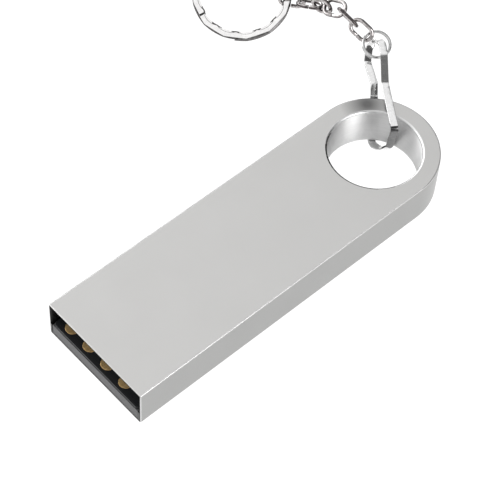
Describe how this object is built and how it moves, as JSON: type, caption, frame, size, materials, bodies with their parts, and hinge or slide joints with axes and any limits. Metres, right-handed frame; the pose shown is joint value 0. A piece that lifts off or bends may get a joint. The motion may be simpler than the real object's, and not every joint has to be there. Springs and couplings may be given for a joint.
{
  "type": "usb flash drive",
  "caption": "Slim metal-sleeved flash drive with an open plug end and a round eyelet, on a bent strap clip, wire chain and split key ring.",
  "frame": {"origin": "centre of the whole object seen from above, at the height of its lowest point", "axes": "the drive lies flat with its top face towards +Z, its plug mouth facing -Y and its eyelet towards +Y; the chain and key ring lie towards -X"},
  "size_m": [0.0348, 0.0458, 0.0051],
  "materials": {
    "sleeve_metal": "fine satin stainless sheet, polished in the eyelet",
    "tray_plastic": "dark grey moulded plastic",
    "lid_plastic": "black moulded plastic",
    "board_black": "black solder resist over laminate",
    "contact_gold": "gold plated strip",
    "mould_epoxy": "black moulding epoxy",
    "silicon": "polished silicon",
    "crystal_can": "plated can",
    "capacitor_body": "tan ceramic",
    "resistor_body": "black glazed chip",
    "glue": "cured adhesive",
    "clip_chrome": "bright plated spring strip",
    "ring_chrome": "bright plated wire",
    "link_chrome": "bright plated wire",
    "key_ring_chrome": "bright plated hammered flat wire"
  },
  "bodies": {
    "drive": {"housing": "sleeve_metal", "carrier_tray": "tray_plastic", "carrier_lid": "lid_plastic", "glue_bead": "glue", "module_board": "board_black", "contact_ground": "contact_gold", "contact_data_plus": "contact_gold", "contact_data_minus": "contact_gold", "contact_power": "contact_gold", "mould_cap": "mould_epoxy", "controller_die": "silicon", "memory_die_lower": "silicon", "memory_die_upper": "silicon", "crystal": "crystal_can", "capacitor_1": "capacitor_body", "capacitor_2": "capacitor_body", "capacitor_3": "capacitor_body", "capacitor_4": "capacitor_body", "resistor_1": "resistor_body", "resistor_2": "resistor_body"},
    "strap_clip": {"strap_clip": "clip_chrome"},
    "jump_ring": {"jump_ring": "ring_chrome"},
    "chain_link_1": {"chain_link_1": "link_chrome"},
    "chain_link_2": {"chain_link_2": "link_chrome"},
    "chain_link_3": {"chain_link_3": "link_chrome"},
    "chain_link_4": {"chain_link_4": "link_chrome"},
    "chain_link_5": {"chain_link_5": "link_chrome"},
    "chain_link_6": {"chain_link_6": "link_chrome"},
    "key_ring": {"key_ring": "key_ring_chrome"}
  },
  "joints": [
    {"name": "clip_swing", "type": "hinge", "parent": "drive", "child": "strap_clip", "pos_m": [0.01128, 0.01049, 0.00241], "axis": [0, 0, 1], "range_deg": [-150, 60]},
    {"name": "jump_ring_swing", "type": "hinge", "parent": "strap_clip", "child": "jump_ring", "pos_m": [0.00169, 0.02075, 0.00124], "axis": [0.5678, 0.8231, 0], "range_deg": [-4, 60]},
    {"name": "link_1_swing", "type": "hinge", "parent": "jump_ring", "child": "chain_link_1", "pos_m": [-0.00059, 0.02128, 0.00212], "axis": [0.0556, -0.969, -0.2408], "range_deg": [-25, 12]},
    {"name": "link_2_swing", "type": "hinge", "parent": "chain_link_1", "child": "chain_link_2", "pos_m": [-0.00227, 0.02085, 0.00295], "axis": [-0.2505, -0.5497, -0.7969], "range_deg": [-25, 25]},
    {"name": "link_3_swing", "type": "hinge", "parent": "chain_link_2", "child": "chain_link_3", "pos_m": [-0.00402, 0.02065, 0.00345], "axis": [-0.2938, 0.4698, -0.8325], "range_deg": [-25, 25]},
    {"name": "link_4_swing", "type": "hinge", "parent": "chain_link_3", "child": "chain_link_4", "pos_m": [-0.00556, 0.02026, 0.00287], "axis": [0.381, -0.779, -0.498], "range_deg": [-25, 25]},
    {"name": "link_5_swing", "type": "hinge", "parent": "chain_link_4", "child": "chain_link_5", "pos_m": [-0.00693, 0.02019, 0.00191], "axis": [0.5621, 0.1515, -0.813], "range_deg": [-25, 8]},
    {"name": "link_6_swing", "type": "hinge", "parent": "chain_link_5", "child": "chain_link_6", "pos_m": [-0.00824, 0.01924, 0.00185], "axis": [0.5255, -0.7474, 0.4065], "range_deg": [-25, 25]},
    {"name": "key_ring_swing", "type": "hinge", "parent": "chain_link_6", "child": "key_ring", "pos_m": [-0.00959, 0.01802, 0.00204], "axis": [-0.1586, 0.0211, -0.9871], "range_deg": [-25, 25]}
  ]
}
